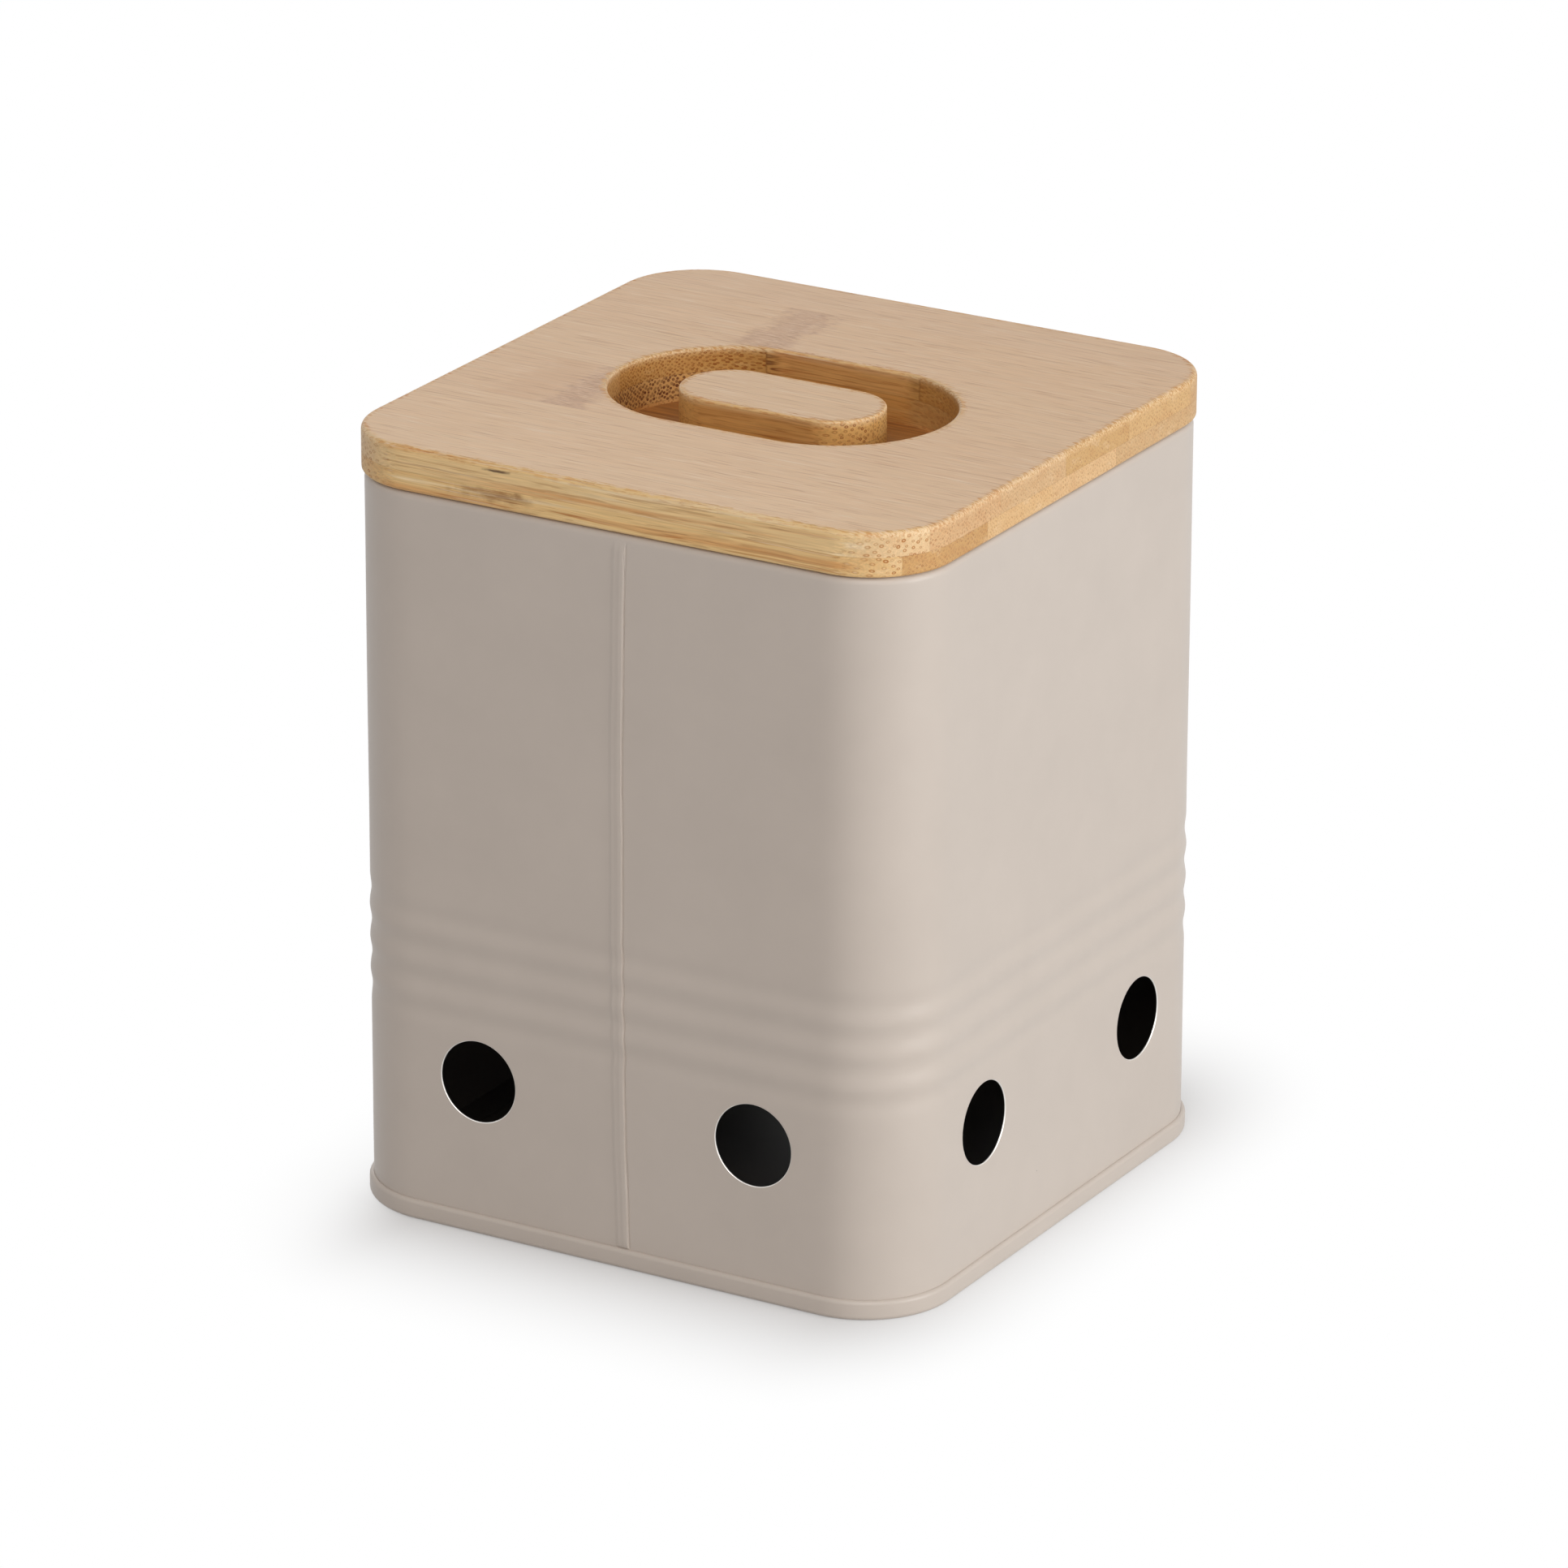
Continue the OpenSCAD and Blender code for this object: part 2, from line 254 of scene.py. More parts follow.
def wall_point(base, normal, s, z, offset):
    """A point of the wall: base + (waves + seam + offset) * normal. The seam is left out of the
    inner skin, whose offset is the sheet's thickness inwards."""
    outer = offset > -SHEET / 2
    out = bead_wave(z) + sheet_bow(base, z) + np.where(outer, seam_wave(s, z), 0.0) + offset
    return np.concatenate([base + out[..., None] * normal, z[..., None]], -1)


def wall_stops(side):
    """Places of the wall's columns on one side: even ones across each vent's square, and on the
    front close ones over the lock seam, closest where its step may wander."""
    flat = BODY / 2 - CORNER_R
    edge = VENT_SQUARE
    vents = [np.linspace(c - edge, c + edge, VENT_CELLS + 1) for c in (-VENT_X, VENT_X)]
    inner = VENT_X - edge
    if side == 0:
        seam_left, step_left, step_right = -3.2, 2.0, 6.2
        middle = np.concatenate([
            np.linspace(-inner, seam_left, 9)[1:-1], np.linspace(seam_left, step_left, 14)[:-1],
            np.linspace(step_left, step_right, 70), np.linspace(step_right, inner, 9)[1:-1]])
    else:
        middle = np.linspace(-inner, inner, 13)[1:-1]
    return np.concatenate([[-flat], vents[0], middle, vents[1], [flat]])


def outer_heights():
    """Heights of the wall's rows, low to high: even ones across the vents' squares, twelve to a
    bead, and wide ones on the plain sheet above."""
    low, high = VENT_Z - VENT_SQUARE, VENT_Z + VENT_SQUARE
    top = BAND_HIGH + BEAD_PITCH / 2
    band = np.arange(BAND_LOW - BEAD_PITCH / 2, top + 0.01, BEAD_PITCH / 12)
    return np.concatenate([
        [SLOT_Z, RIM_H], RIM_H + np.linspace(0.1, 0.7, 4), np.linspace(9, low, 7)[:-1],
        np.linspace(low, high, VENT_CELLS + 1), band[band > high + 0.3],
        np.linspace(top + 2, CURL_Z - 3, 17), CURL_Z - np.array([2, 1, 0])])


def vent_patch(side, centre):
    """The skin round one vent, outside and inside, and the rolled-over edge that joins them.

    Each of its columns runs from a point on the boundary of the vent's square straight to the
    vent's circle, over the edge's quarter rounds, and back out on the inner face. The paint ends
    a little way down the outer round, where the punch bared the metal.
    """
    n, t = side_frame(side)
    k = np.linspace(-1, 1, VENT_CELLS + 1)[:-1]
    one = np.ones_like(k)
    square = VENT_SQUARE * np.concatenate([
        np.stack([k, -one], -1), np.stack([one, k], -1),
        np.stack([-k, one], -1), np.stack([-one, -k], -1)])
    ray = square / np.linalg.norm(square, axis=1, keepdims=True)
    outer_edge, inner_edge, paint_end = 0.34, 0.1, 0.03
    round_out = arc(VENT_R + outer_edge, -outer_edge, outer_edge, 90, 180, 5)
    round_in = arc(VENT_R + inner_edge, -SHEET + inner_edge, inner_edge, 180, 270, 2)
    edge = np.concatenate([round_out, round_in])
    fall = np.linspace(0, 1, 5)
    fall = fall * (2 - fall)
    rows, offsets = [], []
    for f in fall[:-1]:
        rows.append(square * (1 - f) + ray * (VENT_R + outer_edge) * f)
        offsets.append(0.0)
    for r, offset in edge:
        rows.append(ray * r)
        offsets.append(offset)
    for f in fall[::-1][1:]:
        rows.append(square * (1 - f) + ray * (VENT_R + inner_edge) * f)
        offsets.append(-SHEET)
    rows = np.stack(rows)
    offset = np.broadcast_to(np.array(offsets)[:, None], rows.shape[:2])
    s, z = rows[..., 0] + centre, rows[..., 1] + VENT_Z
    base = n * BODY / 2 + s[..., None] * t
    front = s if side == 0 else np.full_like(s, FAR)
    points = wall_point(base, np.broadcast_to(n, base.shape), front, z, offset)
    faces = grid_faces(*rows.shape[:2], wrap_columns=True)
    ends = np.array(offsets[1:])
    slots = np.where(ends < -SHEET + inner_edge, INSIDE, np.where(ends < -paint_end, BARE, PAINTED))
    return points.reshape(-1, 3), faces, np.repeat(slots, rows.shape[1])


def tin_wall():
    """The wrapped sheet: outer face, edge rolled inwards at the mouth, inner face and foot.

    The grid's rows follow the sheet's section round to where it started, and its columns go
    round the tin. The cells behind each vent's square are left out and its patch takes their
    place, with the same points along the square's boundary.
    """
    stops = [wall_stops(side) for side in range(4)]
    base, normal, front = square_path(BODY, CORNER_R, stops)
    heights = outer_heights()
    curl_steps = 20
    curl = arc(-CURL_R, CURL_Z, CURL_R, 0, CURL_TURN, curl_steps)[1:]
    back = arc(-CURL_R, CURL_Z, CURL_R - SHEET, CURL_TURN, 0, curl_steps)[:-1]
    offset = np.concatenate([np.zeros(len(heights)), curl[:, 0], back[:, 0],
                             np.full(len(heights), -SHEET)])
    z = np.concatenate([heights, curl[:, 1], back[:, 1], heights[::-1]])
    rows, columns = len(z), len(base)
    shape = (rows, columns)
    points = wall_point(
        np.broadcast_to(base, shape + (2,)), np.broadcast_to(normal, shape + (2,)),
        np.broadcast_to(front, shape), np.broadcast_to(z[:, None], shape),
        np.broadcast_to(offset[:, None], shape))
    faces = grid_faces(rows, columns, wrap_rows=True, wrap_columns=True)
    middle = points.reshape(-1, 3)[faces].mean(1)
    near = np.abs(middle[:, 2] - VENT_Z) < VENT_SQUARE
    skin = BODY / 2 - 3
    along = np.where(np.abs(middle[:, 0]) > skin, middle[:, 1], middle[:, 0])
    flat = np.abs(middle[:, :2]).max(1) > skin
    hole = near & flat & (np.abs(np.abs(along) - VENT_X) < VENT_SQUARE)
    row_of = np.repeat(np.arange(rows), columns)
    inner_rows = row_of >= len(heights) + len(curl)
    all_points, all_faces = [points.reshape(-1, 3)], [faces[~hole]]
    marks = [np.where(inner_rows[~hole], INSIDE, PAINTED)]
    count = points.size // 3
    for side in range(4):
        for centre in (-VENT_X, VENT_X):
            p, f, slots = vent_patch(side, centre)
            all_points.append(p)
            all_faces.append(f + count)
            marks.append(slots)
            count += len(p)
    return put_mesh("tin_wall", np.concatenate(all_points), np.concatenate(all_faces),
                    np.concatenate(marks), crease=50)


def even_path(width, radius, steps):
    """Path round a rounded square with evenly spaced stops, the same on all four sides."""
    flat = width / 2 - radius
    return square_path(width, radius, [np.linspace(-flat, flat, steps + 1)] * 4)


def base_pan():
    """The base pan: curled rim outside, fold inside the wall, and a panel with a raised step.

    The profile runs from the middle of the panel's underside out and up over the rim, into the
    wall's slot and back over the panel's top; its two inner ends shrink to the pan's middle.
    """
    shoulder = RIM_OUT - CLEAR
    inside = -SHEET - CLEAR
    step_end = STEP_IN + STEP_W
    ease, lift, fold = 0.8, 0.28, 0.6
    under = np.array([[-step_end, PANEL_Z + STEP_H], [-step_end + ease, PANEL_Z + STEP_H - lift],
                      [-STEP_IN - ease, PANEL_Z + lift], [-STEP_IN, PANEL_Z],
                      [inside - RIM_IN - fold, PANEL_Z], [inside - RIM_IN, PANEL_Z - fold]])
    rim = np.concatenate([
        arc(inside - RIM_IN + fold, fold, fold, 180, 270, 4),
        arc(RIM_OUT - RIM_R, RIM_R, RIM_R, -90, 0, 10),
        arc(CLEAR, RIM_H - shoulder, shoulder, 0, 90, 10)])
    slot = np.array([[CLEAR, SLOT_Z], [inside, SLOT_Z], [inside, PANEL_Z + SHEET]])
    over = np.array([[-STEP_IN, PANEL_Z + SHEET], [-STEP_IN - ease, PANEL_Z + SHEET + lift],
                     [-step_end + ease, PANEL_Z + SHEET + STEP_H - lift],
                     [-step_end, PANEL_Z + SHEET + STEP_H]])
    ring = sweep(even_path(BODY, CORNER_R, 8), np.concatenate([under, rim, slot, over]))
    shrink = np.array([0.0, 0.25, 0.5, 0.75])[:, None] * np.array([1, 1, 0]) + np.array([0, 0, 1])
    centre_low = ring[:, :1] * shrink
    centre_high = ring[:, -1:] * shrink[::-1]
    grid = np.concatenate([centre_low, ring, centre_high], 1)
    faces = grid_faces(*grid.shape[:2], wrap_rows=True)
    first_inner = len(shrink) + len(under) + len(rim) + 1
    marks = np.arange(grid.shape[1] - 1) >= first_inner
    return put_mesh("base_pan_rim", grid.reshape(-1, 3), faces, np.tile(marks, grid.shape[0]),
                    crease=50)


def seal():
    """The seal ring: a block in its groove with two round ribs that face the mouth."""
    half = SEAL_H / 2
    rib_z = half - RIB_R
    lip = 0.25
    profile = np.concatenate([
        arc(-GROOVE + lip, SEAL_Z - half + lip, lip, 180, 270, 3),
        arc(RIB_X, SEAL_Z - rib_z, RIB_R, -90, 70, 9),
        arc(RIB_X, SEAL_Z + rib_z, RIB_R, -70, 90, 9),
        arc(-GROOVE + lip, SEAL_Z + half - lip, lip, 90, 180, 3)])
    grid = sweep(even_path(PLUG, PLUG_R, 10), profile)
    faces = grid_faces(*grid.shape[:2], wrap_rows=True, wrap_columns=True)
    return put_mesh("soft_seal", grid.reshape(-1, 3), faces, crease=60)


# ---------------------------------------------------------------- materials

def linear(code):
    """An sRGB hex colour as linear red, green, blue and full alpha."""
    c = np.array([int(code[k:k + 2], 16) for k in (1, 3, 5)]) / 255
    c = np.where(c <= 0.04045, c / 12.92, ((c + 0.055) / 1.055) ** 2.4)
    return (*c.tolist(), 1.0)


def add(tree, kind, inputs=None, out=0, **settings):
    """Adds one node, sets its properties, fills or links its inputs, and gives one output."""
    made = tree.nodes.new("ShaderNode" + kind)
    for key, value in settings.items():
        setattr(made, key, value)
    for key, value in (inputs or {}).items():
        if isinstance(value, bpy.types.NodeSocket):
            tree.links.new(value, made.inputs[key])
        else:
            made.inputs[key].default_value = value
    return made.outputs[out] if made.outputs else made


TIMES = {"operation": "MULTIPLY"}
LESS = {"operation": "SUBTRACT"}
SOFT = {"interpolation_type": "SMOOTHSTEP"}
COLOUR = {"out": 2, "data_type": "RGBA"}
TINT = {**COLOUR, "blend_type": "MULTIPLY"}


def new_material(name):
    """An empty node material, its tree, and the Object coordinates in it, in mm."""
    made = bpy.data.materials.new(name)
    made.use_nodes = True
    tree = made.node_tree
    tree.nodes.clear()
    mm = add(tree, "VectorMath", {0: add(tree, "TexCoord", out=3), "Scale": 1 / MM},
             operation="SCALE")
    return made, tree, mm


def seen_white(tree):
    """1 for rays that look, from the camera or by way of a mirror or glass, and 0 for rays that
    only carry light."""
    rays = add(tree, "LightPath").node.outputs
    seen = rays["Is Camera Ray"]
    for kind in ("Is Glossy Ray", "Is Transmission Ray"):
        seen = add(tree, "Math", {0: seen, 1: rays[kind]}, operation="MAXIMUM")
    return seen


def satin_paint(name, colour, rough, channel):
    """Baked satin enamel sprayed on tinplate.

    The spray dries to a smooth, faintly pebbled skin, which softens the softboxes' mirror images.
    Its pebbles are drawn 0.6 mm across, coarser than they are, so that they show. The colour
    clouds by two percent over a few centimetres. Now and then a speck of dust a third of a
    millimetre wide lies in it: the middle of a 17 mm Voronoi cell whose random colour is high in
    the given channel.
    """
    made, t, mm = new_material(name)
    cloud = add(t, "TexNoise", {"Vector": mm, "Scale": 0.03, "Detail": 3.0, "Roughness": 0.6})
    tone = add(t, "MapRange", {0: cloud, 1: 0.3, 2: 0.7, 3: 0.975, 4: 1.02})
    base = add(t, "Mix", {0: 1.0, 6: linear(colour), 7: tone}, **TINT)
    cell = add(t, "TexVoronoi", {"Vector": mm, "Scale": 1 / 17.0, "Randomness": 1.0})
    kept = add(t, "SeparateColor", {0: cell.node.outputs["Color"]}, out=channel)
    rare = add(t, "Math", {0: kept, 1: 0.62}, operation="GREATER_THAN")
    near = add(t, "MapRange", {0: cell, 1: 0.013, 2: 0.006})
    speck = add(t, "Math", {0: rare, 1: near}, **TIMES)
    base = add(t, "Mix", {0: speck, 6: base, 7: linear("#6d655e")}, **COLOUR)
    pebble = add(t, "TexNoise", {"Vector": mm, "Scale": 1.6, "Detail": 2.0, "Roughness": 0.5})
    skin = add(t, "Math", {0: pebble, 1: speck})
    bump = add(t, "Bump", {"Strength": 0.06, "Distance": 0.0001, "Height": skin})
    rough = add(t, "MapRange", {0: pebble, 1: 0.3, 2: 0.7, 3: rough - 0.03, 4: rough + 0.03})
    shader = add(t, "BsdfPrincipled", {"Base Color": base, "Roughness": rough, "Normal": bump,
                                       "IOR": 1.48})
    add(t, "OutputMaterial", {"Surface": shader})
    return made


def inside_dark():
    """The inside of the sheet, drawn dark brown-black, about as satin as the paint outside, with
    faint cloudy marks."""
    made, t, mm = new_material("inside_sheet_dark")
    cloud = add(t, "TexNoise", {"Vector": mm, "Scale": 0.05, "Detail": 4.0})
    base = add(t, "Mix", {0: cloud, 6: linear("#3a3430"), 7: linear("#4b443e")}, **COLOUR)
    fine = add(t, "TexNoise", {"Vector": mm, "Scale": 1.2, "Detail": 2.0})
    bump = add(t, "Bump", {"Strength": 0.05, "Distance": 0.0001, "Height": fine})
    shader = add(t, "BsdfPrincipled", {"Base Color": base, "Roughness": 0.45, "Normal": bump})
    add(t, "OutputMaterial", {"Surface": shader})
    return made


def bare_tinplate():
    """Bright tinned steel, bared where a vent's punch rubbed the paint off the edge: it mirrors
    the white room softly, broken up by fine burnish marks."""
    made, t, mm = new_material("bare_tinplate_edge")
    scratch = add(t, "TexNoise", {"Vector": mm, "Scale": 3.0, "Detail": 3.0})
    base = add(t, "Mix", {0: scratch, 6: linear("#e9e5df"), 7: linear("#f6f3ee")}, **COLOUR)
    rough = add(t, "MapRange", {0: scratch, 1: 0.3, 2: 0.7, 3: 0.32, 4: 0.45})
    bump = add(t, "Bump", {"Strength": 0.1, "Distance": 0.00005, "Height": scratch})
    shader = add(t, "BsdfPrincipled", {"Base Color": base, "Roughness": rough, "Normal": bump,
                                       "Metallic": 1.0})
    add(t, "OutputMaterial", {"Surface": shader})
    return made


def silicone():
    """Moulded translucent silicone: milky, matt, dusty, and lit through its thin ribs."""
    made, t, mm = new_material("silicone_rubber")
    dust = add(t, "TexNoise", {"Vector": mm, "Scale": 0.9, "Detail": 3.0})
    base = add(t, "Mix", {0: dust, 6: linear("#dcd9d2"), 7: linear("#ebe9e4")}, **COLOUR)
    bump = add(t, "Bump", {"Strength": 0.1, "Distance": 0.0001, "Height": dust})
    shader = add(t, "BsdfPrincipled", {
        "Base Color": base, "Roughness": 0.5, "Normal": bump, "IOR": 1.41,
        "Subsurface Weight": 0.3, "Subsurface Radius": (0.002, 0.002, 0.002),
        "Subsurface Scale": 1.0})
    add(t, "OutputMaterial", {"Surface": shader})
    return made


# Noises along the grain: scale per mm in X, Y and Z, detail and roughness
GRAIN = {
    "teeth": ((0.25, 1.6, 1.6), 2.0, 0.6),
    "broken": ((0.028, 0.8, 0.8), 1.0, 0.5),
    "fine": ((0.06, 2.4, 2.4), 4.0, 0.6),
    "broad": ((0.04, 1.05, 1.05), 4.0, 0.55),
    "hairs": ((0.05, 1.6, 1.6), 2.0, 0.5),
    "band": ((0.007, 0.16, 0.3), 3.0, 0.55),
    "dashes": ((0.26, 2.1, 2.1), 2.0, 0.55),
    "ragged": ((0.2, 0.22, 0.22), 4.0, 0.5),
}


def grain_noise(t, grain, key):
    """One of the noises above, drawn out along the grain."""
    scale, detail, roughness = GRAIN[key]
    moved = add(t, "VectorMath", {0: grain, 1: scale}, **TIMES)
    return add(t, "TexNoise", {"Vector": moved, "Scale": 1.0, "Detail": detail,
                               "Roughness": roughness})


def board_places(t, mm, x, y, hole_flat, hole_r, side):
    """Where a place lies on the board, as three values.

    The first is how many mm it lies in from the board's outline or from the hole's, the pocket's or
    island's, whichever is nearer. The second is how many mm it lies off the hole's alone. The third
    is 1 by the hole and fades out from 5 to 8 mm off it. Each distance is the radius of a rounded
    outline against the length of max(|place| - flat half, 0).
    """
    past = add(t, "Math", {0: add(t, "Math", {0: x}, operation="ABSOLUTE"), 1: hole_flat}, **LESS)
    past = add(t, "Math", {0: past, 1: 0.0}, operation="MAXIMUM")
    reach = add(t, "VectorMath", {0: add(t, "CombineXYZ", {0: past, 1: y})}, out=1,
                operation="LENGTH")
    off_hole = add(t, "Math", {0: reach, 1: side, 2: -side * hole_r}, operation="MULTIPLY_ADD")
    flat = LID / 2 - LID_R
    past = add(t, "VectorMath", {0: mm}, operation="ABSOLUTE")
    past = add(t, "VectorMath", {0: past, 1: (flat, flat, 0.0)}, **LESS)
    past = add(t, "VectorMath", {0: past, 1: (0.0, 0.0, 0.0)}, operation="MAXIMUM")
    past = add(t, "VectorMath", {0: past, 1: (1.0, 1.0, 0.0)}, **TIMES)
    inward = add(t, "VectorMath", {0: past}, out=1, operation="LENGTH")
    inward = add(t, "Math", {0: LID_R, 1: inward}, **LESS)
    inward = add(t, "Math", {0: inward, 1: off_hole}, operation="MINIMUM")
    by_hole = add(t, "MapRange", {0: reach, 1: hole_r + 8.0, 2: hole_r + 5.0})
    return inward, off_hole, by_hole


def vessel_bundles(t, grain, noise, ends, milled, by_hole, spacing, swell, side):
    """Vessel bundles, as the strengths of their brown rings and of their paler cores.

    Across the grain they are the cells of a Voronoi pattern laid cornerwise, and a cell's random
    colour gives its size and strength. Along the grain they are long dashes, broken by a noise. At
    the ends the core lies open in its ring. By the hole the rings swell.
    """
    across = [add(t, "VectorMath", {0: grain, 1: axis}, out=1, operation="DOT_PRODUCT")
              for axis in ((0.0, 0.62, 0.78), (0.0, -0.78, 0.62))]
    scale = add(t, "Mix", {0: by_hole, 2: 1 / spacing[0], 3: 1 / spacing[1]})
    cells = add(t, "TexVoronoi", {
        "Vector": add(t, "CombineXYZ", {0: across[0], 1: across[1]}), "Scale": scale,
        "Randomness": 0.6}, voronoi_dimensions="2D")
    size, age, _ = add(t, "SeparateColor", {0: cells.node.outputs["Color"]}).node.outputs
    rim = add(t, "MapRange", {0: size, 3: 0.24, 4: 0.36})
    rim = add(t, "Math", {0: by_hole, 1: swell, 2: rim}, operation="MULTIPLY_ADD")
    inner = add(t, "Math", {0: rim, 1: 0.13}, **LESS)
    spot = add(t, "MapRange", {0: cells, 1: rim, 2: inner}, **SOFT)
    core = add(t, "MapRange", {0: cells, 1: 0.19, 2: 0.05}, **SOFT)
    strength = add(t, "MapRange", {0: age, 3: 0.45, 4: 1.0})
    broken = add(t, "MapRange", {0: noise["broken"], 1: 0.47, 2: 0.58}, **SOFT)
    broken = add(t, "Mix", {0: ends, 2: broken, 3: 1.0})
    core = add(t, "Math", {0: core, 1: broken}, **TIMES)
    hollow = add(t, "Mix", {0: milled, 2: 0.75, 3: 0.35 - 0.35 * side})
    hollow = add(t, "Math", {0: hollow, 1: ends}, **TIMES)
    hollow = add(t, "Math", {0: core, 1: hollow}, **TIMES)
    ring = add(t, "Math", {0: 1.0, 1: hollow}, **LESS)
    for part in (spot, strength, broken):
        ring = add(t, "Math", {0: ring, 1: part}, **TIMES)
    return ring, core


def sawn_tone(t, noise, edge_tone, end_tone, ends, milled, upward, arris):
    """Tone of the long edges, ends and milled faces: browner and paler bands and streaks of
    0.4 mm, thin brown lines, painted shade of the pocket as a golden brown tint where it is milled,
    deeper and in broad streaks on its floor, and golden teeth along the arris, which fray paler
    on the ends."""
    tone = add(t, "Mix", {0: ends, 6: edge_tone, 7: end_tone}, **COLOUR)
    plain = add(t, "Math", {0: ends, 1: milled}, operation="MAXIMUM")
    held = add(t, "Mix", {0: plain, 2: 0.62, 3: 0.15})
    bands = add(t, "MapRange", {0: noise["band"], 1: 0.46, 2: 0.7}, **SOFT)
    bands = add(t, "Math", {0: bands, 1: held}, **TIMES)
    tone = add(t, "Mix", {0: bands, 6: tone, 7: linear("#d99e5c")}, **TINT)
    pale = add(t, "MapRange", {0: noise["band"], 1: 0.42, 2: 0.3}, **SOFT)
    pale = add(t, "Math", {0: pale, 1: held}, **TIMES)
    tone = add(t, "Mix", {0: pale, 6: tone, 7: linear("#fdeccd")}, **COLOUR)
    streaks = add(t, "MapRange", {0: noise["fine"], 1: 0.28, 2: 0.72, 3: 0.83, 4: 1.12})
    tone = add(t, "Mix", {0: 1.0, 6: tone, 7: streaks}, **TINT)
    lines = add(t, "MapRange", {0: noise["hairs"], 1: 0.56, 2: 0.64, 4: 0.4}, **SOFT)
    lines = add(t, "Math", {0: lines, 1: add(t, "Math", {0: 1.0, 1: ends}, **LESS)}, **TIMES)
    tone = add(t, "Mix", {0: lines, 6: tone, 7: linear("#a8703a")}, **COLOUR)
    # Painted shade of the pocket: a golden brown tint over its milled walls and floor
    pocket_shade_tint = add(t, "Mix", {0: ends, 6: linear("#f0ddba"), 7: linear("#f2e3be")}, **COLOUR)
    # Deeper painted shade on the pocket's floor, broken into broad streaks along the grain
    floor_shade_streaks = add(t, "MapRange", {0: noise["broad"], 1: 0.35, 2: 0.65, 3: 0.72, 4: 1.08})
    floor_shade_streaks = add(t, "Mix", {0: 1.0, 6: linear("#dcbd95"), 7: floor_shade_streaks}, **TINT)
    pocket_shade_tint = add(t, "Mix", {0: upward, 6: pocket_shade_tint, 7: floor_shade_streaks}, **COLOUR)
    tone = add(t, "Mix", {0: milled, 6: tone, 7: pocket_shade_tint}, **TINT)
    comb = add(t, "MapRange", {0: noise["teeth"], 1: 0.4, 2: 0.6, 3: 0.05, 4: 0.5}, **SOFT)
    gold = add(t, "Math", {0: arris, 1: comb}, **TIMES)
    fray = add(t, "Mix", {0: ends, 6: linear("#f4cc8a"), 7: linear("#fae0b6")}, **COLOUR)
    tone = add(t, "Mix", {0: gold, 6: tone, 7: fray}, **COLOUR)
    gaps = add(t, "MapRange", {0: noise["teeth"], 1: 0.5, 2: 0.4, 4: 0.45}, **SOFT)
    gaps = add(t, "Math", {0: arris, 1: gaps}, **TIMES)
    return add(t, "Mix", {0: gaps, 6: tone, 7: linear("#e6b570")}, **TINT)


def sanded_tone(t, noise, tone):
    """Tone of the sanded faces: 1 mm streaks and sparse hairs, brown and pale, on pinkish beige."""
    streaks = add(t, "MapRange", {0: noise["broad"], 1: 0.28, 2: 0.72, 3: 0.93, 4: 1.05})
    tone = add(t, "Mix", {0: 1.0, 6: tone, 7: streaks}, **TINT)
    hairs = add(t, "MapRange", {0: noise["hairs"], 1: 0.58, 2: 0.67, 4: 0.4}, **SOFT)
    tone = add(t, "Mix", {0: hairs, 6: tone, 7: linear("#b8875f")}, **COLOUR)
    hairs = add(t, "MapRange", {0: noise["hairs"], 1: 0.4, 2: 0.32, 4: 0.5}, **SOFT)
    return add(t, "Mix", {0: hairs, 6: tone, 7: linear("#fce6cd")}, **COLOUR)


def ragged_span(t, place, middle, half, full, level, ragged):
    """level about the middle of a span, as far as the share full of half of it, and from there
    fading to 0 at the span's ragged end."""
    away = add(t, "Math", {0: place, 1: middle}, **LESS)
    away = add(t, "Math", {0: away, 1: 1 / half, 2: ragged}, operation="MULTIPLY_ADD")
    away = add(t, "Math", {0: away}, operation="ABSOLUTE")
    return add(t, "MapRange", {0: away, 1: 1.0, 2: full, 4: level}, **SOFT)


def natural_marks(t, grain, fine, tone, marks, x, y, z, sanded):
    """Lays growth rings, knots and stains over a tone.

    A growth ring is a browner band across the sanded faces, with brown dashes and pale flecks in
    it. Knots and stains are on the front edge, and a stain follows the fine fibres.
    """
    ragged = add(t, "MapRange", {0: grain_noise(t, grain, "ragged"), 1: 0.2, 2: 0.8, 3: -0.5,
                                 4: 0.5})
    kinds = {kind for kind, *_ in marks}
    masks = {}
    if "ring" in kinds:
        dashes = grain_noise(t, grain, "dashes")
        masks["ring"] = (sanded, 0.42)
        masks["dash"] = (sanded, add(t, "MapRange", {0: dashes, 1: 0.52, 2: 0.62}, **SOFT))
        masks["fleck"] = (sanded, add(t, "MapRange", {0: dashes, 1: 0.44, 2: 0.36}, **SOFT))
    else:
        front = add(t, "MapRange", {0: y, 1: -92.0, 2: -97.0}, **SOFT)
        masks["knot"] = (front,)
    if "stain" in kinds:
        fibres = add(t, "MapRange", {0: fine, 1: 0.4, 2: 0.6, 3: 0.35}, **SOFT)
        masks["stain"] = (front, fibres)
    for kind, along, height, strength, colour in marks:
        mask = ragged_span(t, x, *along, 0.3, strength, ragged)
        parts = masks[kind]
        if height:
            parts = (ragged_span(t, z, *height, 0.2, 1.0, ragged), *parts)
        for part in parts:
            mask = add(t, "Math", {0: mask, 1: part}, **TIMES)
        tone = add(t, "Mix", {0: mask, 6: tone, 7: linear(colour)}, **COLOUR)
    return tone


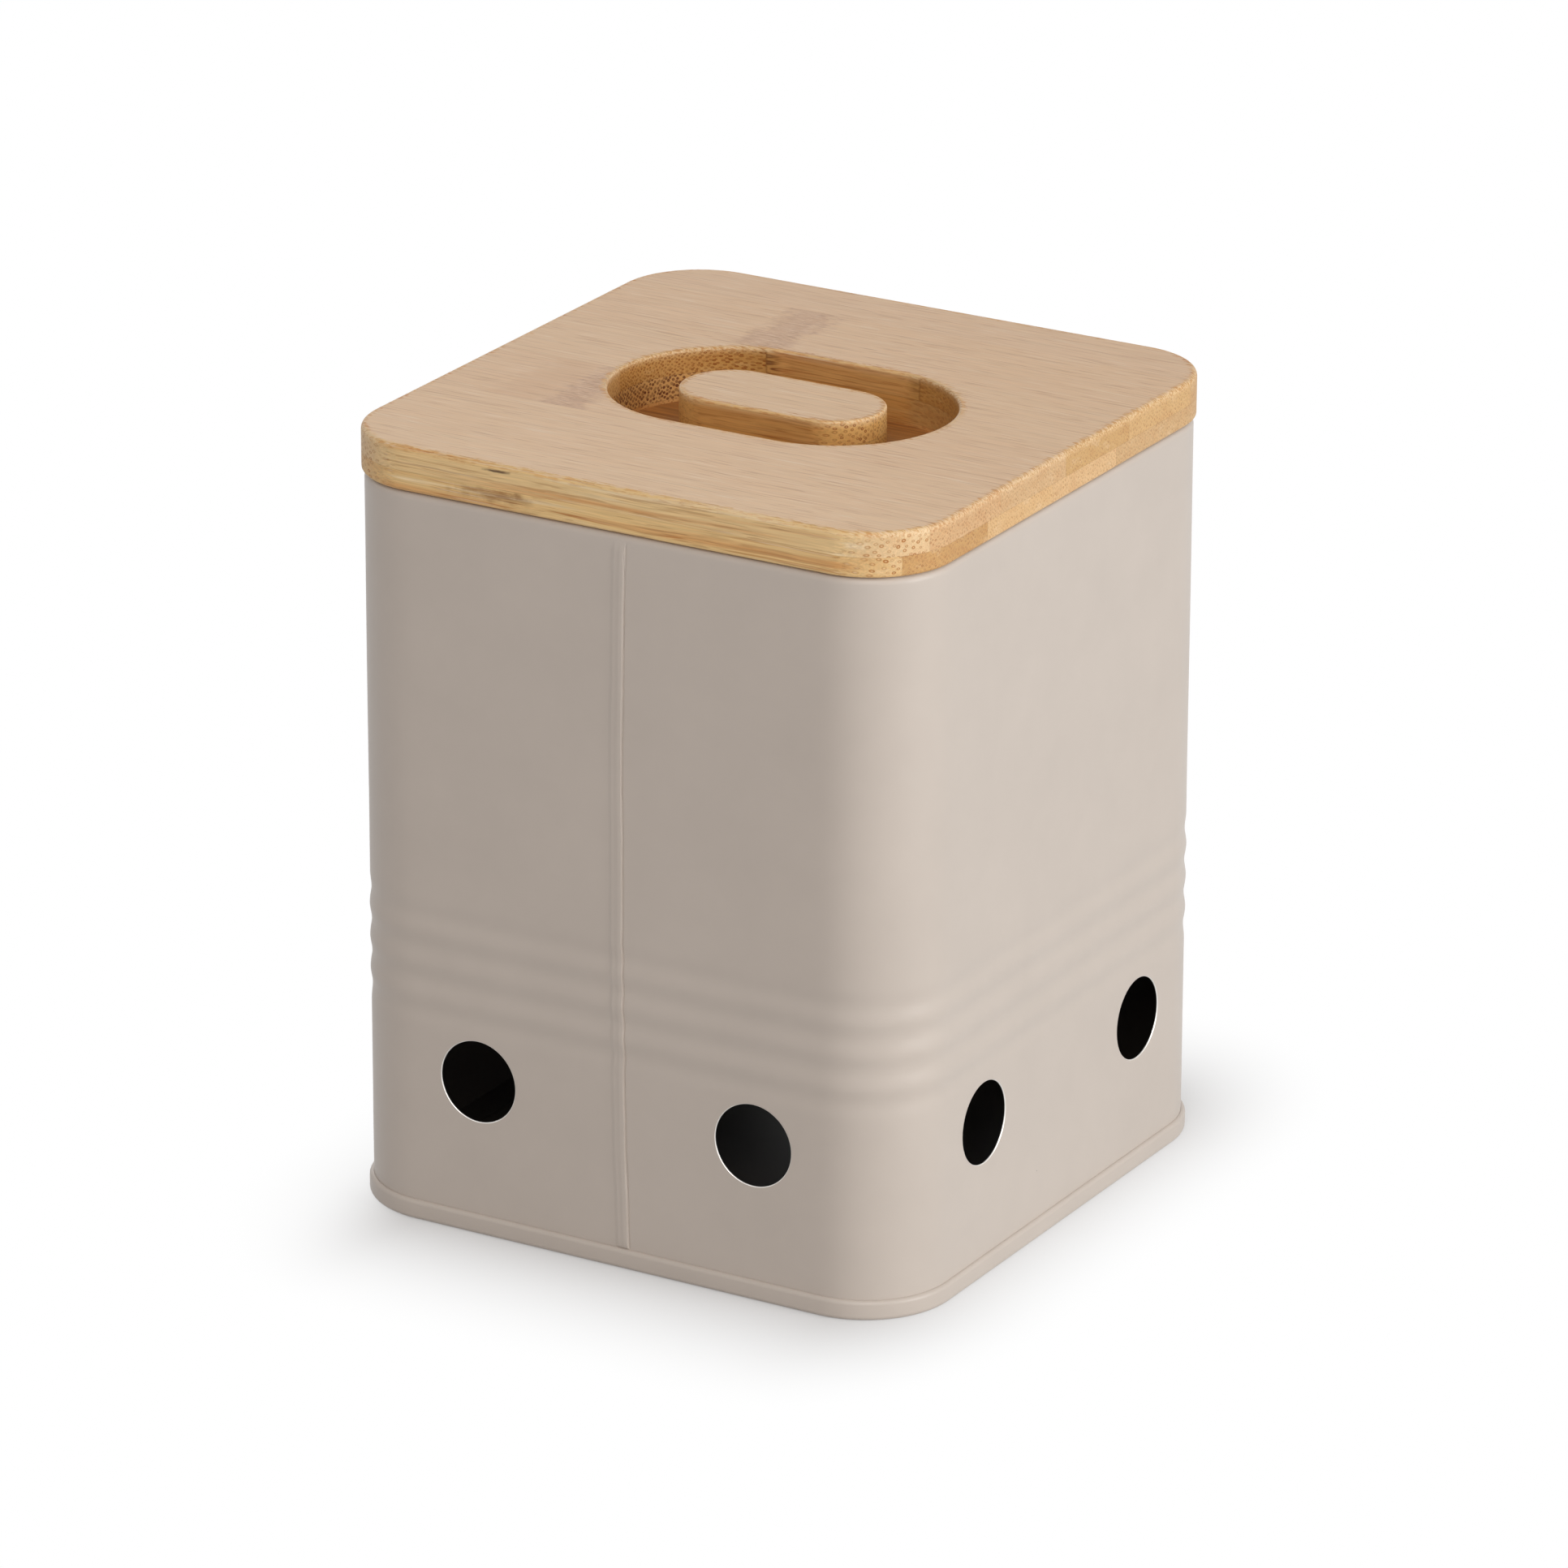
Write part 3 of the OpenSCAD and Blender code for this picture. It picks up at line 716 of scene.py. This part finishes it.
def glue_lines(t, y, z, joint, ply_shown):
    """How strongly the glue shows: lines 0.14 mm to each side of the joints between strips, and
    of those between plies where these are shown."""
    lines = []
    for place, start, pitch in ((y, joint, STRIP_W), (z, LID_TOP, PLY)):
        turns = add(t, "Math", {0: add(t, "Math", {0: place, 1: start}, **LESS), 1: pitch},
                    operation="DIVIDE")
        away = add(t, "Math", {0: turns}, operation="FRACT")
        away = add(t, "Math", {0: away, 1: 0.5}, **LESS)
        away = add(t, "Math", {0: away}, operation="ABSOLUTE")
        lines.append(add(t, "MapRange", {0: away, 1: 0.5 - 0.14 / pitch, 2: 0.5}))
    for part in ply_shown:
        lines[1] = add(t, "Math", {0: lines[1], 1: part}, **TIMES)
    return add(t, "Math", {0: lines[0], 1: lines[1]}, operation="MAXIMUM")


def bamboo(name, seed, tones, spacing, depth, swell, joint, hole, marks=()):
    """One strip of bamboo culm: steamed, glued into its ply, sanded and thinly oiled.

    The grain is solid, so every cut shows it truly. Vessel bundles run along X and wander slowly
    in Y and Z. A sawn end shows each as a brown ring round a paler core, a rounded corner as a
    tear drop, and a face along the strip as a long thin dash. tones are the colours of the sanded
    faces, the long edges, the ends and the pocket's bundles. spacing in mm and depth give how far
    apart and how dark the bundles are, at the lid's outside and at the pocket, where they also
    swell. hole is half the flat length and the radius of the pocket or island, 1 outside it or -1
    inside, and how far its wall has turned where it looks like a sawn end. marks are growth rings,
    knots and stains, each placed in mm.
    """
    top_tone, edge_tone, end_tone, dot_tone = (linear(code) for code in tones)
    hole_flat, hole_r, side, turned = hole
    made, t, mm = new_material(name)
    x, y, z = add(t, "SeparateXYZ", {0: mm}).node.outputs
    nx, _, nz = add(t, "SeparateXYZ", {0: add(t, "TexCoord", out=1)}).node.outputs

    # Each strip starts elsewhere in the noises, and its grain wanders by up to 4 mm
    jump = add(t, "VectorMath", {0: mm, 1: (137.0 * seed, 31.0 * seed, 17.0 * seed)})
    slow = add(t, "VectorMath", {0: jump, 1: (0.012, 0.05, 0.05)}, **TIMES)
    drift = add(t, "TexNoise", {"Vector": slow, "Scale": 1.0, "Detail": 1.0}, out=1)
    grain = add(t, "VectorMath", {0: drift, 1: (0.0, 4.0, 4.0), 2: jump}, operation="MULTIPLY_ADD")
    noise = {key: grain_noise(t, grain, key)
             for key in ("teeth", "broken", "fine", "broad", "hairs", "band")}
    inward, off_hole, by_hole = board_places(t, mm, x, y, hole_flat, hole_r, side)

    # Ends, and flat faces sanded pale, which fray into the roundings in teeth along the grain
    ends = add(t, "MapRange", {0: add(t, "Math", {0: nx}, operation="ABSOLUTE"), 1: 0.06,
                               2: add(t, "Mix", {0: by_hole, 2: 0.6, 3: turned})}, **SOFT)
    crown = add(t, "Math", {0: noise["teeth"], 1: 8.0, 2: inward}, operation="MULTIPLY_ADD")
    crown = add(t, "MapRange", {0: crown, 1: 5.1, 2: 6.2}, **SOFT)
    upward = add(t, "MapRange", {0: nz, 1: 0.2, 2: 0.5}, **SOFT)
    crown = add(t, "Math", {0: crown, 1: upward}, **TIMES)
    downward = add(t, "MapRange", {0: nz, 1: -0.8, 2: -0.97}, **SOFT)
    sanded = add(t, "Math", {0: crown, 1: downward}, operation="MAXIMUM")
    unsanded = add(t, "Math", {0: 1.0, 1: sanded}, **LESS)

    # The pocket's milled walls and floor, and the arris, which is narrower round the pocket
    milled = add(t, "MapRange", {0: off_hole, 1: 0.9, 2: 0.3}, **SOFT)
    below = add(t, "MapRange", {0: z, 1: LID_TOP - 0.5, 2: LID_TOP - 3.0}, **SOFT)
    above = add(t, "MapRange", {0: z, 1: LID_Z - 4.0, 2: LID_Z - 3.0}, **SOFT)
    for part in (below, above, unsanded):
        milled = add(t, "Math", {0: milled, 1: part}, **TIMES)
    foot = add(t, "Mix", {0: by_hole, 2: LID_TOP - 2.6, 3: LID_TOP - 1.5})
    arris = add(t, "MapRange", {0: z, 1: foot, 2: LID_TOP - 0.4}, **SOFT)

    ring, core = vessel_bundles(t, grain, noise, ends, milled, by_hole, spacing, swell, side)
    tone = sawn_tone(t, noise, edge_tone, end_tone, ends, milled, upward, arris)
    top = sanded_tone(t, noise, top_tone)
    tone = add(t, "Mix", {0: sanded, 6: tone, 7: top}, **COLOUR)

    # Bundles laid over it. Their depth is painted light: full on the pocket's left and the island's
    # right, which face the key lamp, and half as deep on the walls that face away from it, where
    # the bundles show less in shade
    lamp_side_depth = add(t, "MapRange", {0: x, 1: -10.0 * side, 2: 10.0 * side, 3: depth[1],
                               4: 0.5 * depth[1]}, **SOFT)
    shown = add(t, "Mix", {0: by_hole, 2: depth[0], 3: lamp_side_depth})
    held = add(t, "Mix", {0: ends, 2: 0.7, 3: 1.0})
    shown = add(t, "Math", {0: shown, 1: held}, **TIMES)
    shown = add(t, "Mix", {0: add(t, "Math", {0: arris, 1: 0.8}, **TIMES), 2: shown, 3: 0.1})
    shown = add(t, "Mix", {0: sanded, 2: shown, 3: 0.16})
    shown = add(t, "Math", {0: ring, 1: shown}, **TIMES)
    dark = add(t, "Math", {0: by_hole, 1: ends}, **TIMES)
    dark = add(t, "Mix", {0: dark, 6: linear("#c4924c"), 7: dot_tone}, **COLOUR)
    dark = add(t, "Mix", {0: 1.0, 6: tone, 7: dark}, **TINT)
    tone = add(t, "Mix", {0: shown, 6: tone, 7: dark}, **COLOUR)
    lit = add(t, "Mix", {0: ends, 2: 0.45, 3: 0.12})
    lit = add(t, "Math", {0: core, 1: lit}, **TIMES)
    flesh = add(t, "Mix", {0: milled, 6: linear("#fdebc8"), 7: linear("#e3b574")}, **COLOUR)
    tone = add(t, "Mix", {0: lit, 6: tone, 7: flesh}, **COLOUR)
    if marks:
        tone = natural_marks(t, grain, noise["fine"], tone, marks, x, y, z, sanded)

    # Brown glue, which fades along a joint and is plainer by the pocket
    glue = glue_lines(t, y, z, joint, (unsanded, below))
    fade = add(t, "MapRange", {0: noise["band"], 1: 0.38, 2: 0.62, 3: 0.05, 4: 0.45})
    fade = add(t, "Math", {0: by_hole, 1: 0.25, 2: fade}, operation="MULTIPLY_ADD")
    glue = add(t, "Math", {0: glue, 1: fade}, **TIMES)
    tone = add(t, "Mix", {0: glue, 6: tone, 7: linear("#875728")}, **COLOUR)

    # Sanded grain to the touch: bundles stand a little proud of the soft cells
    height = add(t, "Mix", {0: sanded, 2: noise["fine"], 3: noise["broad"]})
    height = add(t, "Math", {0: ring, 1: 0.6, 2: height}, operation="MULTIPLY_ADD")
    bump = add(t, "Bump", {"Strength": 0.25, "Distance": 0.0001, "Height": height})
    rough = add(t, "MapRange", {0: noise["fine"], 1: 0.3, 2: 0.7, 3: 0.46, 4: 0.6})
    shader = add(t, "BsdfPrincipled", {"Base Color": tone, "Roughness": rough, "Normal": bump,
                                       "IOR": 1.45})
    add(t, "OutputMaterial", {"Surface": shader})
    return made


# ---------------------------------------------------------------- the part

wall_paint = satin_paint("satin_enamel_wall", "#c9bfb5", 0.42, 0)
pan_paint = satin_paint("satin_enamel_pan", "#c9bfb5", 0.40, 1)
inside = inside_dark()

wall = tin_wall()
wall.data.materials.append(wall_paint)
wall.data.materials.append(inside)
wall.data.materials.append(bare_tinplate())
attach(wall, "bin")
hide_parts("body_shell")

pan = base_pan()
pan.data.materials.append(pan_paint)
pan.data.materials.append(inside)
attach(pan, "bin")
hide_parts("base_pan")

ring = seal()
ring.data.materials.append(silicone())
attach(ring, "lid")
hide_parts("seal_ring")

# Each strip is from its own culm: colours of its sanded faces, long edges, ends and bundles at the
# pocket, spacing in mm and depth of the bundles at the outside and the pocket, and their swelling
DOT_BROWN = "#b98c4e"
DOT_DARK = "#7a4a26"
DOT_RING = "#a3683a"
STRIPS = {
    "upper_strip_1": (("#f1d0aa", "#f0cf97", "#e5c495", DOT_BROWN), (1.7, 1.4), (1.0, 0.8), 0.0),
    "upper_strip_2": (("#f0cea8", "#eac48e", "#dab282", DOT_BROWN), (1.15, 1.1), (0.85, 0.7), 0.0),
    "upper_strip_3": (("#eecba5", "#eac48e", "#d8b384", DOT_BROWN), (1.0, 1.0), (0.8, 0.8), 0.06),
    "upper_strip_4": (("#efcda7", "#eac48e", "#d1a86f", DOT_BROWN), (1.1, 1.0), (0.8, 0.95), 0.1),
    "upper_strip_5": (("#efcca6", "#eac48e", "#d8b17a", DOT_DARK), (1.2, 1.9), (0.8, 0.95), 0.1),
    "upper_strip_6": (("#eecca8", "#eac48e", "#d5ae7a", DOT_BROWN), (1.1, 1.1), (0.8, 0.7), 0.0),
    "middle_strip_1": (("#e3bd8c", "#efcb8e", "#e2bb82", DOT_BROWN), (1.7, 1.4), (1.0, 0.85), 0.0),
    "middle_strip_2": (("#e3bd8c", "#e2b87c", "#cc9f65", DOT_BROWN), (1.2, 1.2), (0.85, 0.85), 0.0),
    "middle_strip_3": (("#e3bd8c", "#e2b87c", "#e0b984", DOT_DARK), (1.1, 1.15), (0.8, 1.0), 0.15),
    "middle_strip_4": (("#e3bd8c", "#e2b87c", "#e0ba88", DOT_DARK), (1.1, 1.15), (0.8, 1.0), 0.15),
    "middle_strip_5": (("#e3bd8c", "#e2b87c", "#d4af7e", DOT_BROWN), (1.1, 1.3), (0.8, 0.85), 0.05),
    "middle_strip_6": (("#e3bd8c", "#e2b87c", "#d4af7e", DOT_BROWN), (1.2, 1.2), (0.8, 0.8), 0.0),
    "plug_strip_1": (("#e6c091", "#d1a66f", "#deb584", DOT_BROWN), (1.5, 1.5), (0.85, 0.8), 0.0),
    "plug_strip_2": (("#e8c294", "#d1a66f", "#deb584", DOT_BROWN), (1.3, 1.3), (0.85, 0.8), 0.0),
    "plug_strip_3": (("#e5be8e", "#d1a66f", "#d9ae7b", DOT_BROWN), (1.7, 1.7), (0.85, 0.8), 0.0),
    "plug_strip_4": (("#e8c294", "#d1a66f", "#deb584", DOT_BROWN), (1.1, 1.1), (0.85, 0.8), 0.0),
    "plug_strip_5": (("#e6c091", "#d1a66f", "#deb584", DOT_BROWN), (1.4, 1.4), (0.85, 0.8), 0.0),
    "island_cap_1": (("#eecca5", "#e6bd84", "#f0c990", DOT_RING), (1.5, 1.4), (0.8, 0.85), 0.06),
    "island_cap_2": (("#eecca5", "#e6bd84", "#f0c990", DOT_RING), (1.2, 1.2), (0.8, 0.85), 0.04),
    "island_core_1": (("#e3bd8c", "#e2b87c", "#e9c187", DOT_RING), (1.5, 1.4), (0.8, 0.85), 0.06),
    "island_core_2": (("#e3bd8c", "#e2b87c", "#e9c187", DOT_RING), (1.2, 1.2), (0.8, 0.85), 0.04),
}
JOINTS = {"upper": UPPER_JOINT, "island_cap": UPPER_JOINT, "middle": MIDDLE_JOINT,
          "island_core": MIDDLE_JOINT, "plug": PLUG_JOINT}

# What bamboo takes as its hole: the pocket's wall looks sawn sooner than the island's
POCKET = (POCKET_FLAT, POCKET_R, 1.0, 0.2)
ISLAND = (ISLAND_FLAT, ISLAND_R, -1.0, 0.5)

# Kind, middle and half size along X, the same in height where it has one, strength and colour
MARKS = {
    "upper_strip_5": (("ring", (-31.0, 12.0), None, 1.0, "#c09478"),
                      ("dash", (-38.0, 5.0), None, 0.25, "#9c6e50"),
                      ("dash", (-27.0, 6.0), None, 0.4, "#9c6e50"),
                      ("fleck", (-30.0, 11.0), None, 0.4, "#ffe9cf")),
    "upper_strip_3": (("ring", (-53.0, 11.0), None, 1.0, "#c09478"),
                      ("dash", (-53.0, 10.0), None, 0.4, "#9c6e50"),
                      ("fleck", (-55.0, 11.0), None, 0.35, "#ffe9cf"),
                      ("ring", (-70.0, 13.0), None, 0.55, "#cf9f74")),
    "upper_strip_1": (("knot", (-40.0, 5.0), (249.4, 0.55), 0.9, "#4a2e16"),),
    "middle_strip_1": (("stain", (-41.0, 16.0), (241.6, 3.0), 0.8, "#8d5b2b"),),
}

for seed, (name, (tones, spacing, depth, swell)) in enumerate(STRIPS.items()):
    joint = JOINTS[name.rsplit("_", 1)[0].removesuffix("_strip")]
    wood = bamboo("oiled_bamboo_" + name, seed + 1.0, tones, spacing, depth, swell, joint,
                  ISLAND if name.startswith("island") else POCKET, MARKS.get(name, ()))
    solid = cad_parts[name]
    solid.data.materials.clear()
    solid.data.materials.append(wood)


# ---------------------------------------------------------------- studio

def studio_floor():
    """A plain white floor, as a sweep of paper looks once its light is raised to white.

    Seen by the camera or mirrored, it is matt paper with some glow at the tin's foot, where the
    shadow lies, and glow alone from 75 mm away. Other rays meet matt paper everywhere. The matt
    share falls off as (start * (1 - distance / 75))^2. The distance is from the foot's rounded
    square: the length of max(|place| - flat half, 0), less the radius, and sideways it counts half
    as much again. The start is less on the left, where the photograph has less shadow.
    """
    made, t, mm = new_material("white_studio_floor")
    past = add(t, "VectorMath", {0: mm}, operation="ABSOLUTE")
    flat = BODY / 2 - CORNER_R
    past = add(t, "VectorMath", {0: past, 1: (flat, flat, 0.0)}, **LESS)
    past = add(t, "VectorMath", {0: past, 1: (0.0, 0.0, 0.0)}, operation="MAXIMUM")
    past = add(t, "VectorMath", {0: past, 1: (1.5, 1.0, 0.0)}, **TIMES)
    away = add(t, "VectorMath", {0: past}, out=1, operation="LENGTH")
    x = add(t, "SeparateXYZ", {0: mm})
    start = add(t, "MapRange", {0: x, 1: -112.0, 2: -70.0, 3: 0.5, 4: 0.85}, **SOFT)
    shade = add(t, "MapRange", {0: away, 1: CORNER_R, 2: CORNER_R + 75.0, 3: start, 4: 0.0})
    shade = add(t, "Math", {0: shade, 1: shade}, **TIMES)
    matt = add(t, "BsdfDiffuse", {"Color": linear("#d6d6d6")})
    glow = add(t, "Emission", {"Color": (1, 1, 1, 1), "Strength": 1.0})
    shown = add(t, "MixShader", {0: shade, 1: glow, 2: matt})
    shown = add(t, "MixShader", {0: seen_white(t), 1: matt, 2: shown})
    add(t, "OutputMaterial", {"Surface": shown})
    far = 14.0
    mesh = bpy.data.meshes.new("studio_floor")
    mesh.from_pydata([(-far, -far, 0), (far, -far, 0), (far, far, 0), (-far, far, 0)], [],
                     [(0, 1, 2, 3)])
    floor = bpy.data.objects.new("studio_floor", mesh)
    bpy.context.scene.collection.objects.link(floor)
    mesh.materials.append(made)


def studio_world(light, colour):
    """Even light from all round, which the camera and mirrors see as plain white."""
    world = bpy.data.worlds.new("studio")
    world.use_nodes = True
    t = world.node_tree
    t.nodes.clear()
    seen = seen_white(t)
    level = add(t, "MapRange", {0: seen, 3: light})
    tint = add(t, "Mix", {0: seen, 6: linear(colour), 7: (1, 1, 1, 1)}, **COLOUR)
    shown = add(t, "Background", {"Color": tint, "Strength": level})
    add(t, "OutputWorld", {"Surface": shown})
    bpy.context.scene.world = world


def outward(azimuth, elevation):
    """Unit vector from the tin towards an azimuth, 0 at the front and a quarter turn at the right,
    and an elevation, both in radians."""
    level = math.cos(elevation)
    return Vector((math.sin(azimuth) * level, -math.cos(azimuth) * level, math.sin(elevation)))


def soft_lamp(name, azimuth, elevation, distance, power, colour):
    """A square area lamp that faces the tin's middle. Angles are in degrees, the distance in m."""
    data = bpy.data.lights.new(name, "AREA")
    data.shape = "SQUARE"
    data.size = 1.2
    data.energy = power
    data.color = linear(colour)[:3]
    lamp = bpy.data.objects.new(name, data)
    back = outward(math.radians(azimuth), math.radians(elevation))
    middle = Vector((0, 0, 0.12))
    lamp.location = middle + back * distance
    lamp.rotation_mode = "QUATERNION"
    lamp.rotation_quaternion = back.to_track_quat("Z", "Y")
    bpy.context.scene.collection.objects.link(lamp)


def photo_camera():
    """The photograph's viewpoint, from a least-squares fit of the part's outlines to it."""
    frame_px, focal_px = 1932.0, 11587.8
    azimuth, elevation, roll = 0.52926, 0.36241, 0.00262
    target, distance = Vector((-0.019916, 0.035488, 0.109412)), 2.953178
    data = bpy.data.cameras.new("photo_camera")
    data.sensor_width = 36.0
    data.lens = data.sensor_width * focal_px / frame_px
    data.clip_start, data.clip_end = 0.1, 60.0
    camera = bpy.data.objects.new("photo_camera", data)
    back = outward(azimuth, elevation)
    right = Vector((math.cos(azimuth), math.sin(azimuth), 0.0))
    up = back.cross(right)
    turned_right = math.cos(roll) * right + math.sin(roll) * up
    turned_up = back.cross(turned_right)
    placed = Matrix((turned_right, turned_up, back)).transposed().to_4x4()
    placed.translation = target + back * distance
    camera.matrix_world = placed
    bpy.context.scene.collection.objects.link(camera)
    bpy.context.scene.camera = camera


studio_floor()
studio_world(0.35, "#fff9f6")
soft_lamp("key_softbox", 90.0, 13.0, 2.4, 29.0, "#ffffff")
soft_lamp("fill_softbox", 30.0, 38.0, 2.6, 19.8, "#fffaf7")
soft_lamp("back_softbox", 225.0, 8.0, 2.6, 6.0, "#ffffff")
photo_camera()
bpy.context.scene.view_settings.view_transform = "Standard"
